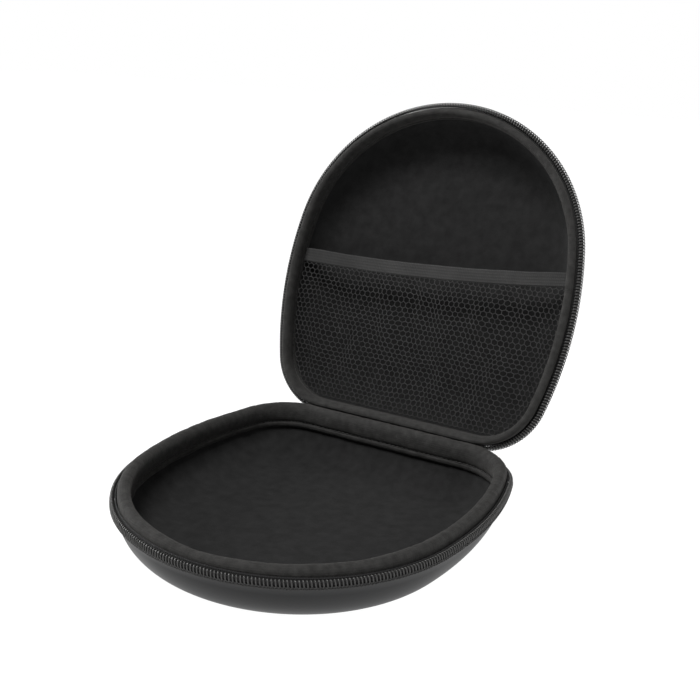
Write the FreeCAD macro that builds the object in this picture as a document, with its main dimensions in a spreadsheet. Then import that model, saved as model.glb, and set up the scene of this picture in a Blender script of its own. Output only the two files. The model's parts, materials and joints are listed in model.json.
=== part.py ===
import FreeCAD, Part
import math
import os
import Sketcher

# Clamshell carrying case for headphones: two moulded foam shells with a bonded
# leather-look face, each with a knitted lining, a padded rim and half of a coil
# zip, joined along one straight edge by a fabric hinge. The lid holds a net pocket.
#
# World frame, millimetres: the origin is the middle of the base's resting face,
# +Z is up, the hinge is along X at the back (+Y) and the base opens upwards.
#
# Both shells are drawn in the same shell frame: its origin is the middle of the
# hinge line, x runs along the hinge, y runs into the shell away from the hinge and
# z is the height over the parting plane, so every part of a shell has a negative z.
# "Inset" is the distance inwards from the case's outline, the zip's outer edge.

doc = FreeCAD.newDocument("HeadphoneCase")

SIZES = [
    ("case_length", 210.0, "outline from the hinge to the far end"),
    ("case_width", 201.0, "outline at its widest"),
    ("hinge_length", 107.0, "straight edge that carries the fabric hinge"),
    ("corner_radius", 40.5, "outline radius beside the hinge"),
    ("side_radius", 228.0, "outline radius along the sides"),
    ("shell_depth", 32.0, "parting plane to the outer face of either shell"),
    ("bottom_radius", 30.0, "outer radius between a shell's wall and its face"),
    ("skin_inset", 2.7, "outline to the outer skin"),
    ("wall", 3.5, "moulded foam with its bonded face"),
    ("lining", 1.2, "knitted lining with its thin foam"),
    ("parting_gap", 0.2, "parting plane to the highest fabric of a shell"),
    ("coil_thick", 2.6, "zip coil, outwards"),
    ("coil_height", 4.6, "zip coil, up and down"),
    ("coil_gap", 0.4, "coil to the shell's folded edge under it"),
    ("tape_thick", 0.7, "woven zip tape"),
    ("tape_reach", 10.0, "depth to which the tape is sewn down inside the wall"),
    ("zip_end", 57.5, "middle of the hinge to either end of the zip, along x"),
    ("lip_inset", 4.0, "outline to the padded lip"),
    ("lip_width", 6.9, "padded lip, across"),
    ("lip_radius", 2.6, "rounding of the lip's crown"),
    ("binding", 0.7, "knit that covers the lip"),
    ("pocket_depth", 7.0, "parting plane to the face of the net"),
    ("pocket_height", 110.0, "hinge line to the top of the pocket's hem"),
    ("net_thick", 0.8, "stretch net"),
    ("hem_width", 9.0, "elastic hem of the pocket"),
    ("hem_thick", 1.6, "elastic hem of the pocket"),
    ("hinge_fabric", 0.8, "each of the two hinge strips"),
    ("hinge_reach", 14.0, "how far the outer strip runs down a shell's wall"),
    ("hinge_gap", 0.2, "each hinge strip to the face that it lies on"),
    ("slider_turn", 31.0, "degrees round the corner at which the slider is parked"),
    ("slider_length", 12.0, "zip slider along the zip"),
    ("plate", 1.4, "metal of the zip slider"),
    ("lug_width", 6.8, "pair of lugs that carry the pin, along the zip"),
    ("lug_slot", 4.4, "room for the tab's eye between the lugs"),
    ("lug_reach", 3.2, "lugs, outwards from the plate"),
    ("lug_height", 3.0, "lugs, up and down"),
    ("pin_radius", 0.7, "pin that holds the pull tab"),
    ("pin_reach", 1.9, "slider's plate to the middle of the pin"),
    ("pin_depth", 3.4, "parting plane to the middle of the pin"),
    ("eye_wall", 0.6, "metal round the tab's eye"),
    ("eye_width", 3.8, "tab's eye and neck, along the pin"),
    ("neck_length", 3.0, "middle of the pin to the tab's blade"),
    ("tab_length", 26.0, "pull tab below its pin"),
    ("tab_width", 8.0, "pull tab"),
    ("tab_thick", 1.3, "pull tab"),
    ("running_gap", 0.3, "clearance of the slider and of its tab"),
    ("lid_opening", 107.5, "degrees from shut to the lid's place at rest"),
]

sheet = doc.addObject("Spreadsheet::Sheet", "Sizes")
for row, (alias, value, note) in enumerate(SIZES, start=1):
    sheet.set(f"A{row}", str(value))
    sheet.setAlias(f"A{row}", alias)
    sheet.set(f"B{row}", note)
doc.recompute()

# Depths and insets that follow from the sheet, as expressions.
SHELL_TOP = "(Sizes.parting_gap + Sizes.coil_height + Sizes.coil_gap)"
STEP_TOP = f"({SHELL_TOP} - Sizes.tape_thick)"
TAPE_BACK = "(Sizes.coil_thick + Sizes.tape_thick)"
WALL_INSET = "(Sizes.skin_inset + Sizes.wall)"
TAIL_INSET = "(Sizes.skin_inset + Sizes.wall + Sizes.tape_thick)"
LIP_INNER = "(Sizes.lip_inset + Sizes.lip_width)"
CORE_OUTER = "(Sizes.lip_inset + Sizes.binding)"
CORE_INNER = "(Sizes.lip_inset + Sizes.lip_width - Sizes.binding)"
CORE_TOP = "(Sizes.parting_gap + Sizes.binding)"
CORE_RADIUS = "(Sizes.lip_radius - Sizes.binding)"
COIL_ROUNDING = "(Sizes.coil_thick / 4)"
OUTER_STRIP = "(Sizes.skin_inset - Sizes.hinge_fabric - Sizes.hinge_gap)"
INNER_STRIP = "(Sizes.lip_inset - Sizes.hinge_fabric - Sizes.hinge_gap)"

X_AXIS = FreeCAD.Vector(1, 0, 0)
Y_AXIS = FreeCAD.Vector(0, 1, 0)
Z_AXIS = FreeCAD.Vector(0, 0, 1)
HORIZONTAL, VERTICAL = -1, -2      # the sketch axes
START, END, CENTRE = 1, 2, 3       # the points of a sketch's line or arc


def number(expression):
    """The value of an expression over the sheet's cells."""
    return float(sheet.evalExpression(expression.replace("Sizes.", "")))


# ---------------------------------------------------------------- outline

def arc(centre, radius, first, last):
    circle = Part.Circle(centre, Z_AXIS, radius)
    return Part.ArcOfCircle(circle, math.radians(first), math.radians(last))


def outline_shape(inset):
    """Line and arcs of the outline moved inwards, from the hinge line and round to it."""
    half_hinge = number("Sizes.hinge_length") / 2
    corner = number("Sizes.corner_radius")
    side = number("Sizes.side_radius")
    length = number("Sizes.case_length")
    side_x = number("Sizes.case_width") / 2 - side
    corner_centre = FreeCAD.Vector(half_hinge, corner, 0)
    rise = math.sqrt((side - corner) ** 2 - (half_hinge - side_x) ** 2)
    side_centre = FreeCAD.Vector(side_x, corner + rise, 0)
    drop = side_centre.y - length
    far = (side ** 2 - side_x ** 2 - drop ** 2) / (2 * (drop + side))
    far_centre = FreeCAD.Vector(0, length - far, 0)
    towards_corner = corner_centre - side_centre
    towards_far = far_centre - side_centre
    low = math.degrees(math.atan2(towards_corner.y, towards_corner.x))
    high = math.degrees(math.atan2(towards_far.y, towards_far.x))
    side_left = FreeCAD.Vector(-side_centre.x, side_centre.y, 0)
    corner_left = FreeCAD.Vector(-corner_centre.x, corner_centre.y, 0)
    hinge_line = Part.LineSegment(
        FreeCAD.Vector(-half_hinge, inset, 0), FreeCAD.Vector(half_hinge, inset, 0)
    )
    return [
        hinge_line,
        arc(corner_centre, corner - inset, -90, low),
        arc(side_centre, side - inset, low, high),
        arc(far_centre, far - inset, high, 180 - high),
        arc(side_left, side - inset, 180 - high, 180 - low),
        arc(corner_left, corner - inset, 180 - low, 270),
    ]


def add_constraint(sketch, *definition, value=None):
    """Adds one constraint, and binds its size to the expression value where it has one."""
    if value is None:
        sketch.addConstraint(Sketcher.Constraint(*definition))
        return
    index = sketch.addConstraint(Sketcher.Constraint(*definition, number(value)))
    sketch.setExpression(f"Constraints[{index}]", value)


def add_outline(sketch, inset):
    """Draws the case's outline, moved inwards by the expression inset."""
    first = sketch.addGeometry(outline_shape(number(inset)), False)[0]
    line, corner, side, far, side_left, corner_left = range(first, first + 6)
    chain = [line, corner, side, far, side_left, corner_left]
    for one, following in zip(chain, chain[1:] + chain[:1]):
        add_constraint(sketch, "Tangent", one, END, following, START)
    add_constraint(sketch, "Symmetric", line, START, line, END, VERTICAL)
    add_constraint(sketch, "DistanceX", line, START, line, END, value="Sizes.hinge_length")
    add_constraint(sketch, "DistanceY", HORIZONTAL, START, line, START, value=inset)
    add_constraint(sketch, "Radius", corner, value=f"Sizes.corner_radius - {inset}")
    add_constraint(sketch, "Equal", corner, corner_left)
    add_constraint(sketch, "Radius", side, value=f"Sizes.side_radius - {inset}")
    add_constraint(sketch, "Equal", side, side_left)
    beyond = "Sizes.side_radius - Sizes.case_width / 2"
    add_constraint(sketch, "DistanceX", side, CENTRE, HORIZONTAL, START, value=beyond)
    add_constraint(sketch, "DistanceX", HORIZONTAL, START, side_left, CENTRE, value=beyond)
    reach = f"Sizes.case_length - {inset}"
    tip = sketch.addGeometry(Part.Point(FreeCAD.Vector(0, number(reach), 0)), True)
    add_constraint(sketch, "PointOnObject", tip, START, VERTICAL)
    add_constraint(sketch, "PointOnObject", tip, START, far)
    add_constraint(sketch, "DistanceY", HORIZONTAL, START, tip, START, value=reach)


def add_rectangle(sketch, half_width, near, far):
    """Draws a rectangle across the case's middle, from y = near to y = far."""
    x, low, high = number(half_width), number(near), number(far)
    corners = [(-x, low), (x, low), (x, high), (-x, high)]
    points = [FreeCAD.Vector(a, b, 0) for a, b in corners]
    sides = [Part.LineSegment(a, b) for a, b in zip(points, points[1:] + points[:1])]
    first = sketch.addGeometry(sides, False)[0]
    bottom, right, top, left = range(first, first + 4)
    chain = [bottom, right, top, left]
    for one, following in zip(chain, chain[1:] + chain[:1]):
        add_constraint(sketch, "Coincident", one, END, following, START)
    add_constraint(sketch, "Vertical", right)
    add_constraint(sketch, "Vertical", left)
    add_constraint(sketch, "Horizontal", top)
    add_constraint(sketch, "Symmetric", bottom, START, bottom, END, VERTICAL)
    add_constraint(sketch, "DistanceX", bottom, START, bottom, END, value=f"2 * ({half_width})")
    add_constraint(sketch, "DistanceY", right, START, right, END, value=f"({far}) - ({near})")
    add_constraint(sketch, "DistanceY", HORIZONTAL, START, bottom, START, value=near)


# ---------------------------------------------------------------- features

def place_on_base(thing):
    """Puts the shell frame in the base: opening upwards, hinge at the back."""
    thing.Placement = FreeCAD.Placement(FreeCAD.Vector(), FreeCAD.Rotation(Z_AXIS, 180))
    thing.setExpression("Placement.Base.y", "Sizes.case_length / 2")
    thing.setExpression("Placement.Base.z", "Sizes.shell_depth")


def place_on_lid(thing):
    """Puts the shell frame in the lid, turned open about the hinge line."""
    turn = 180 - number("Sizes.lid_opening")
    thing.Placement = FreeCAD.Placement(FreeCAD.Vector(), FreeCAD.Rotation(X_AXIS, turn))
    thing.setExpression("Placement.Base.y", "Sizes.case_length / 2")
    thing.setExpression("Placement.Base.z", "Sizes.shell_depth")
    thing.setExpression("Placement.Rotation.Angle", "180 - Sizes.lid_opening")


def new_body(label, place):
    body = doc.addObject("PartDesign::Body", label)
    body.Label = label
    place(body)
    return body


def new_sketch(body, depth):
    """A sketch parallel to the parting plane, the expression depth below it."""
    plane = next(f for f in body.Origin.OriginFeatures if f.Role == "XY_Plane")
    sketch = body.newObject("Sketcher::SketchObject", body.Label + "_sketch")
    sketch.AttachmentSupport = [(plane, "")]
    sketch.MapMode = "FlatFace"
    sketch.setExpression("AttachmentOffset.Base.z", f"-({depth})")
    return sketch


def pad_down(body, sketch, height):
    pad = body.newObject("PartDesign::Pad", body.Label + "_pad")
    pad.Profile = sketch
    pad.Reversed = True
    pad.setExpression("Length", height)
    doc.recompute()
    return pad


def pocket(body, sketch, height, downwards=True):
    """Cuts the sketch's area out of the body, and makes sure that it cut something."""
    before = body.Shape.Volume
    cut = body.newObject("PartDesign::Pocket", body.Label + "_pocket")
    cut.Profile = sketch
    cut.Reversed = not downwards
    cut.setExpression("Length", height)
    doc.recompute()
    if body.Shape.Volume > before - 1.0:
        raise RuntimeError(f"{cut.Label} cuts nothing")
    return cut


def fillet_level(body, depth, radius):
    """Rounds the edges that lie wholly at one depth under the parting plane."""
    tip = body.Tip
    level = -number(depth)
    edges = [
        f"Edge{index}"
        for index, edge in enumerate(tip.Shape.Edges, start=1)
        if all(abs(vertex.Z - level) < 0.001 for vertex in edge.Vertexes)
    ]
    fillet = body.newObject("PartDesign::Fillet", body.Label + "_fillet")
    fillet.Base = (tip, edges)
    fillet.setExpression("Radius", radius)
    doc.recompute()
    if "Invalid" in fillet.State:
        raise RuntimeError(f"{fillet.Label} can't be rounded")
    return fillet


def hollow_out(body, thickness):
    """Leaves a wall of one thickness, open at the parting plane."""
    tip = body.Tip
    opening = [
        f"Face{index}"
        for index, face in enumerate(tip.Shape.Faces, start=1)
        if all(abs(vertex.Z) < 0.001 for vertex in face.Vertexes)
    ]
    hollow = body.newObject("PartDesign::Thickness", body.Label + "_hollow")
    hollow.Base = (tip, opening)
    hollow.Reversed = True
    hollow.setExpression("Value", thickness)
    doc.recompute()
    return hollow


def ring(body, outer, inner, top, bottom):
    """Pads the band between two insets from one depth to another."""
    sketch = new_sketch(body, top)
    add_outline(sketch, outer)
    add_outline(sketch, inner)
    return pad_down(body, sketch, f"{bottom} - {top}")


def cut_rectangle(body, half_width, near, far):
    """Cuts a rectangle across the middle of the body, through its whole height."""
    sketch = new_sketch(body, "0")
    add_rectangle(sketch, half_width, near, far)
    return pocket(body, sketch, "Sizes.shell_depth")


# ---------------------------------------------------------------- sub-parts of either shell

def bowl(label, place, outer, thickness, top, bottom, radius):
    """A moulded tray: flat face, round edge and straight wall, all of one thickness."""
    body = new_body(label, place)
    sketch = new_sketch(body, "0")
    add_outline(sketch, outer)
    pad_down(body, sketch, bottom)
    fillet_level(body, bottom, radius)
    hollow_out(body, thickness)
    rim = new_sketch(body, "0")
    add_outline(rim, outer)
    pocket(body, rim, top)
    return body


def foam_shell(side, place):
    return bowl(
        side + "_shell", place, "Sizes.skin_inset", "Sizes.wall", SHELL_TOP,
        "Sizes.shell_depth", "Sizes.bottom_radius",
    )


def knitted_lining(side, place):
    return bowl(
        side + "_lining", place, WALL_INSET, "Sizes.lining", "Sizes.tape_reach",
        "(Sizes.shell_depth - Sizes.wall)", "(Sizes.bottom_radius - Sizes.wall)",
    )


def clear_of_shell(label, body, side):
    """The body less what the shell's wall, which curves inwards, takes of its room."""
    cut = doc.addObject("Part::Cut", label)
    cut.Label = label
    cut.Base = body
    cut.Tool = doc.getObject(side + "_shell")
    doc.recompute()
    return cut


def rim_core(side, place):
    """Foam of the padded lip, with a tail that hangs down inside the wall."""
    body = new_body(side + "_rim_foam", place)
    ring(body, CORE_OUTER, CORE_INNER, CORE_TOP, STEP_TOP)
    fillet_level(body, CORE_TOP, CORE_RADIUS)
    ring(body, TAIL_INSET, CORE_INNER, STEP_TOP, "Sizes.tape_reach")
    return clear_of_shell(side + "_rim_core", body, side)


def rim_binding(side, place):
    """Knit folded over the lip's foam, from the tape outside to the lining inside."""
    lip = new_body(side + "_lip", place)
    ring(lip, "Sizes.lip_inset", LIP_INNER, "Sizes.parting_gap", "Sizes.tape_reach")
    fillet_level(lip, "Sizes.parting_gap", "Sizes.lip_radius")
    wall_space = new_sketch(lip, "Sizes.tape_reach")
    add_outline(wall_space, "Sizes.skin_inset")
    add_outline(wall_space, TAIL_INSET)
    pocket(lip, wall_space, f"Sizes.tape_reach - {STEP_TOP}", downwards=False)
    binding = doc.addObject("Part::Cut", side + "_rim_binding")
    binding.Label = side + "_rim_binding"
    binding.Base = lip
    binding.Tool = doc.getObject(side + "_rim_foam")
    doc.recompute()
    return binding


def open_at_hinge(body):
    """Ends a zip part on both sides of the hinge."""
    return cut_rectangle(body, "Sizes.zip_end", "-Sizes.coil_thick", "Sizes.corner_radius / 2")


def zip_tape(side, place):
    """Tape behind the coil, turned in over the shell's edge and down inside the wall."""
    body = new_body(side + "_tape_strip", place)
    ring(body, "Sizes.coil_thick", TAPE_BACK, "(2 * Sizes.parting_gap)", SHELL_TOP)
    ring(body, "Sizes.coil_thick", TAIL_INSET, STEP_TOP, SHELL_TOP)
    ring(body, WALL_INSET, TAIL_INSET, SHELL_TOP, "Sizes.tape_reach")
    open_at_hinge(body)
    return clear_of_shell(side + "_zip_tape", body, side)


def zip_coil(side, place):
    body = new_body(side + "_zip_coil", place)
    bottom = "(Sizes.parting_gap + Sizes.coil_height)"
    ring(body, "0", "Sizes.coil_thick", "Sizes.parting_gap", bottom)
    fillet_level(body, "Sizes.parting_gap", COIL_ROUNDING)
    open_at_hinge(body)
    return body


def zip_stops(side, place):
    """Two moulded stops, one at each end of the zip."""
    blocks = []
    for hand in (-1, 1):
        block = doc.addObject("Part::Box", f"{side}_stop_block")
        block.setExpression("Length", "Sizes.coil_thick + Sizes.tape_thick")
        block.setExpression("Width", "Sizes.coil_thick + Sizes.tape_thick")
        block.setExpression("Height", "Sizes.coil_height")
        near_x = "Sizes.zip_end - Sizes.coil_thick - Sizes.tape_thick"
        x = near_x if hand > 0 else "-Sizes.zip_end"
        block.setExpression("Placement.Base.x", x)
        block.setExpression("Placement.Base.y", "Sizes.running_gap")
        block.setExpression("Placement.Base.z", "-Sizes.parting_gap - Sizes.coil_height")
        blocks.append(block)
    stops = doc.addObject("Part::MultiFuse", side + "_zip_stops")
    stops.Label = side + "_zip_stops"
    stops.Shapes = blocks
    place(stops)
    doc.recompute()
    return stops


# ---------------------------------------------------------------- net pocket in the lid

NET_INSET = LIP_INNER
HEM_LOW = "(Sizes.pocket_height - Sizes.hem_width)"
PAST_END = "(Sizes.case_length + Sizes.wall)"
PAST_SIDE = "(Sizes.case_width / 2)"


def pocket_net():
    """Stretch net from the hinge end of the lid's rim up to the hem."""
    body = new_body("pocket_net", place_on_lid)
    sketch = new_sketch(body, "Sizes.pocket_depth")
    add_outline(sketch, NET_INSET)
    pad_down(body, sketch, "Sizes.net_thick")
    cut_rectangle(body, PAST_SIDE, HEM_LOW, PAST_END)
    return body


def pocket_hem():
    """Elastic band along the mouth of the pocket, from side to side of the rim."""
    body = new_body("pocket_hem", place_on_lid)
    sketch = new_sketch(body, "(Sizes.pocket_depth - (Sizes.hem_thick - Sizes.net_thick) / 2)")
    add_outline(sketch, NET_INSET)
    pad_down(body, sketch, "Sizes.hem_thick")
    cut_rectangle(body, PAST_SIDE, "Sizes.pocket_height", PAST_END)
    cut_rectangle(body, PAST_SIDE, "0", HEM_LOW)
    return body


# ---------------------------------------------------------------- fabric hinge

def hinge_strip(label, inset, reach):
    """Strip up the base's wall, round the hinge line and down the lid's wall."""
    legs = []
    for place in (place_on_base, place_on_lid):
        leg = doc.addObject("Part::Box", label + "_leg")
        leg.setExpression("Length", "Sizes.hinge_length")
        leg.setExpression("Width", "Sizes.hinge_fabric")
        leg.setExpression("Height", reach)
        moved = doc.addObject("Part::Compound", label + "_leg_in_shell")
        moved.Links = [leg]
        leg.setExpression("Placement.Base.x", "-Sizes.hinge_length / 2")
        leg.setExpression("Placement.Base.y", inset)
        leg.setExpression("Placement.Base.z", f"-({reach})")
        place(moved)
        legs.append(moved)
    bend = doc.addObject("Part::Cut", label + "_bend")
    sectors = []
    for name, radius in (("outer", f"{inset} + Sizes.hinge_fabric"), ("inner", inset)):
        sector = doc.addObject("Part::Cylinder", f"{label}_{name}")
        sector.setExpression("Radius", radius)
        sector.setExpression("Height", "Sizes.hinge_length")
        if name == "outer":
            sector.setExpression("Angle", "Sizes.lid_opening")
        sectors.append(sector)
    bend.Base, bend.Tool = sectors
    # The cylinder's axis is turned to X, and its sector starts at the lid's side.
    upright = FreeCAD.Rotation(X_AXIS, Y_AXIS, Z_AXIS)
    along_hinge = FreeCAD.Rotation(Y_AXIS, Z_AXIS, X_AXIS)
    start = FreeCAD.Rotation(X_AXIS, 180 - number("Sizes.lid_opening"))
    bend.Placement = FreeCAD.Placement(FreeCAD.Vector(), start * along_hinge * upright)
    bend.setExpression("Placement.Base.x", "-Sizes.hinge_length / 2")
    bend.setExpression("Placement.Base.y", "Sizes.case_length / 2")
    bend.setExpression("Placement.Base.z", "Sizes.shell_depth")
    strip = doc.addObject("Part::MultiFuse", label)
    strip.Label = label
    strip.Shapes = legs + [bend]
    strip.Refine = True
    doc.recompute()
    return strip


# ---------------------------------------------------------------- zip slider and pull tab

PLATE_FACE = "(Sizes.running_gap + Sizes.plate)"
PIN_OUT = f"({PLATE_FACE} + Sizes.pin_reach)"
EYE_RADIUS = "(Sizes.pin_radius + Sizes.running_gap + Sizes.eye_wall)"
LUG_TOP = "(Sizes.pin_depth - Sizes.lug_height / 2)"
TAB_BACK = f"({PIN_OUT} - Sizes.tab_thick / 2)"


def slider_box(name, length, out, thick, top, height):
    """A box in the slider's own frame: along the zip, outwards and up."""
    box = doc.addObject("Part::Box", name)
    box.setExpression("Length", length)
    box.setExpression("Width", thick)
    box.setExpression("Height", height)
    box.setExpression("Placement.Base.x", f"-({length}) / 2")
    box.setExpression("Placement.Base.y", out)
    box.setExpression("Placement.Base.z", f"-({top}) - ({height})")
    return box


def pin_cylinder(name, radius, length):
    """A cylinder on the pull tab's pin, in the slider's own frame."""
    cylinder = doc.addObject("Part::Cylinder", name)
    cylinder.setExpression("Radius", radius)
    cylinder.setExpression("Height", length)
    cylinder.Placement = FreeCAD.Placement(
        FreeCAD.Vector(), FreeCAD.Rotation(Y_AXIS, Z_AXIS, X_AXIS)
    )
    cylinder.setExpression("Placement.Base.x", f"-({length}) / 2")
    cylinder.setExpression("Placement.Base.y", PIN_OUT)
    cylinder.setExpression("Placement.Base.z", "-Sizes.pin_depth")
    return cylinder


def place_slider(thing):
    """Puts the slider's frame on the base's outline, part of the way round the corner."""
    turn = number("Sizes.slider_turn")
    thing.Placement = FreeCAD.Placement(FreeCAD.Vector(), FreeCAD.Rotation(Z_AXIS, turn))
    centre_y = "Sizes.case_length / 2 - Sizes.corner_radius"
    thing.setExpression(
        "Placement.Base.x",
        "-Sizes.hinge_length / 2 - Sizes.corner_radius * sin(Sizes.slider_turn * 1 deg)",
    )
    thing.setExpression(
        "Placement.Base.y",
        f"{centre_y} + Sizes.corner_radius * cos(Sizes.slider_turn * 1 deg)",
    )
    thing.setExpression("Placement.Base.z", "Sizes.shell_depth")


def zip_slider():
    """Outer plate, a flange under the coil, and two lugs with the pull tab's pin."""
    slider_height = "Sizes.coil_height + Sizes.running_gap + Sizes.plate"
    plate = slider_box(
        "slider_plate", "Sizes.slider_length", "Sizes.running_gap", "Sizes.plate",
        "Sizes.parting_gap", slider_height,
    )
    flange = slider_box(
        "slider_flange", "Sizes.slider_length", "-Sizes.coil_thick + Sizes.running_gap",
        "Sizes.coil_thick", "Sizes.parting_gap + Sizes.coil_height + Sizes.running_gap",
        "Sizes.plate",
    )
    lug_block = slider_box(
        "slider_lugs", "Sizes.lug_width", PLATE_FACE, "Sizes.lug_reach", LUG_TOP, "Sizes.lug_height",
    )
    slot = slider_box(
        "slider_slot", "Sizes.lug_slot", PLATE_FACE, "Sizes.lug_reach + Sizes.plate",
        f"{LUG_TOP} - Sizes.plate", "Sizes.lug_height + 2 * Sizes.plate",
    )
    lugs = doc.addObject("Part::Cut", "slider_lug_pair")
    lugs.Base = lug_block
    lugs.Tool = slot
    pin = pin_cylinder("slider_pin", "Sizes.pin_radius", "Sizes.lug_width")
    slider = doc.addObject("Part::MultiFuse", "zip_slider")
    slider.Label = "zip_slider"
    slider.Shapes = [plate, flange, lugs, pin]
    place_slider(slider)
    doc.recompute()
    return slider


def pull_tab():
    """Flat tab that hangs from the slider's pin by an eye."""
    eye = pin_cylinder("tab_eye", EYE_RADIUS, "Sizes.eye_width")
    neck = slider_box(
        "tab_neck", "Sizes.eye_width", TAB_BACK, "Sizes.tab_thick", "Sizes.pin_depth",
        "Sizes.neck_length + Sizes.tab_thick",
    )
    blade = slider_box(
        "tab_blade", "Sizes.tab_width", TAB_BACK, "Sizes.tab_thick",
        "Sizes.pin_depth + Sizes.neck_length", "Sizes.tab_length - Sizes.neck_length",
    )
    solid = doc.addObject("Part::MultiFuse", "tab_solid")
    solid.Shapes = [eye, neck, blade]
    bore = pin_cylinder("tab_bore", "Sizes.pin_radius + Sizes.running_gap", "Sizes.lug_width")
    tab = doc.addObject("Part::Cut", "pull_tab")
    tab.Label = "pull_tab"
    tab.Base = solid
    tab.Tool = bore
    place_slider(tab)
    doc.recompute()
    return tab


# ---------------------------------------------------------------- the whole case

SHELL_PARTS = (foam_shell, knitted_lining, rim_core, rim_binding, zip_tape, zip_coil, zip_stops)

parts = [make("base", place_on_base) for make in SHELL_PARTS]
parts += [make("lid", place_on_lid) for make in SHELL_PARTS]
parts += [pocket_net(), pocket_hem()]
parts.append(hinge_strip("hinge_outer_strip", OUTER_STRIP, "Sizes.hinge_reach"))
parts.append(hinge_strip("hinge_inner_strip", INNER_STRIP, SHELL_TOP))
parts += [zip_slider(), pull_tab()]

doc.recompute()
for item in doc.Objects:
    if "Invalid" in item.State or "Error" in item.State:
        raise RuntimeError(f"{item.Label} failed: {item.State}")
for part in parts:
    if part.Shape.isNull() or not part.Shape.isValid():
        raise RuntimeError(f"{part.Label} has no valid shape")

os.makedirs("parts", exist_ok=True)
for part in parts:
    part.Shape.exportStep(f"parts/{part.Label}.step")
    box = part.Shape.BoundBox
    print(
        f"{part.Label}: {len(part.Shape.Solids)} solid(s), {part.Shape.Volume / 1000:.2f} cm3, "
        f"x {box.XMin:.1f}..{box.XMax:.1f} y {box.YMin:.1f}..{box.YMax:.1f} "
        f"z {box.ZMin:.1f}..{box.ZMax:.1f}"
    )
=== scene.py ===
import json
import math

import bmesh
import bpy
from mathutils import Matrix, Vector, kdtree, noise


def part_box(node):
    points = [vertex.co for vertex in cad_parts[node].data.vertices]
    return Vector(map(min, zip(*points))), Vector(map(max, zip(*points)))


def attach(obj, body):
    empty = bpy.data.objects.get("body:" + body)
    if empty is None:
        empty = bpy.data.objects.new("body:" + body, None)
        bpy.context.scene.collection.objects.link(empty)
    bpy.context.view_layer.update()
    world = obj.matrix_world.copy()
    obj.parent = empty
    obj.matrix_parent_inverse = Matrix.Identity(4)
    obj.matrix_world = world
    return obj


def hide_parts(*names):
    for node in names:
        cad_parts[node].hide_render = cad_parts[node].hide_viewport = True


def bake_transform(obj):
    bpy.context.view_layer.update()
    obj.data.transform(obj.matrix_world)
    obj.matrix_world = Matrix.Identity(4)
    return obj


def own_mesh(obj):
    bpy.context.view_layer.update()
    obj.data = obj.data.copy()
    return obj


# The looks of an open clamshell headphone case: leather-look skin, knitted lining
# and lips, coil zip, fabric hinge and the net pocket of the lid.
#
# Both shells are made in the same shell frame, in millimetres: u runs along the
# hinge, v into the shell away from the hinge and h is the height over the parting
# plane, so what is inside a shell has a negative h. "Inset" is the distance inwards
# from the case's outline, which is the outer edge of the zip.

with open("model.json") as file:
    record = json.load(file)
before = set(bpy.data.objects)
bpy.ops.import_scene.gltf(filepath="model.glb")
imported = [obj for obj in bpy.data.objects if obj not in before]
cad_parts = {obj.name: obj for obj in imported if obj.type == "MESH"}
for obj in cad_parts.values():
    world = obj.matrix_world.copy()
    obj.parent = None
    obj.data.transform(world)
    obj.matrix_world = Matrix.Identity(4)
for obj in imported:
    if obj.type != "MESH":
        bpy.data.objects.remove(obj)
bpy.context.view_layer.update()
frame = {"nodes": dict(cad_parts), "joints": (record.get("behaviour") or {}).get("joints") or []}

METRE = 1000.0                  # millimetres

joints = {joint["name"]: joint for joint in frame["joints"]}
hinge = Vector(joints["lid_hinge"]["pos_m"])
opening = math.radians(max(joints["lid_hinge"]["range_deg"]))
coil_low, coil_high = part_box("base_zip_coil")
strip_low, strip_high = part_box("hinge_outer_strip")
stops_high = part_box("base_zip_stops")[1]

CASE_LENGTH = (hinge.y - coil_low.y) * METRE
CASE_WIDTH = (coil_high.x - coil_low.x) * METRE
HINGE_LENGTH = (strip_high.x - strip_low.x) * METRE
ZIP_END = stops_high.x * METRE
DEPTH = hinge.z * METRE
CORNER_RADIUS = 40.5            # outline beside the hinge
SIDE_RADIUS = 228.0             # outline along the sides
MIDDLE = Vector((0, CASE_LENGTH * 0.52))    # the point that the flat faces shrink towards

SCALE = Matrix.Scale(1 / METRE, 4)
TO_HINGE = Matrix.Translation(hinge)
PLACES = {                      # from each shell's frame to the world
    "base": TO_HINGE @ Matrix.Rotation(math.pi, 4, "Z") @ SCALE,
    "lid": TO_HINGE @ Matrix.Rotation(math.pi - opening, 4, "X") @ SCALE,
}
NORMALS = {                     # the direction of h in the world
    "base": Vector((0, 0, 1)),
    "lid": Matrix.Rotation(math.pi - opening, 3, "X") @ Vector((0, 0, 1)),
}


# ---------------------------------------------------------------- outline

def outline_arcs():
    """(centre, radius, first angle, last angle) of the arcs, from the hinge's right end."""
    half = HINGE_LENGTH / 2
    side_x = CASE_WIDTH / 2 - SIDE_RADIUS
    rise = math.sqrt((SIDE_RADIUS - CORNER_RADIUS) ** 2 - (half - side_x) ** 2)
    side_y = CORNER_RADIUS + rise
    drop = side_y - CASE_LENGTH
    far = (SIDE_RADIUS ** 2 - side_x ** 2 - drop ** 2) / (2 * (drop + SIDE_RADIUS))
    low = math.atan2(CORNER_RADIUS - side_y, half - side_x)
    high = math.atan2(CASE_LENGTH - far - side_y, -side_x)
    return [
        (Vector((half, CORNER_RADIUS)), CORNER_RADIUS, -math.pi / 2, low),
        (Vector((side_x, side_y)), SIDE_RADIUS, low, high),
        (Vector((0, CASE_LENGTH - far)), far, high, math.pi - high),
        (Vector((-side_x, side_y)), SIDE_RADIUS, math.pi - high, math.pi - low),
        (Vector((-half, CORNER_RADIUS)), CORNER_RADIUS, math.pi - low, math.pi * 1.5),
    ]


ARCS = outline_arcs()
OUTLINE_LENGTH = HINGE_LENGTH + sum(r * (last - first) for _, r, first, last in ARCS)
ZIP_START = HINGE_LENGTH + CORNER_RADIUS * math.asin((ZIP_END - HINGE_LENGTH / 2) / CORNER_RADIUS)


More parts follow.
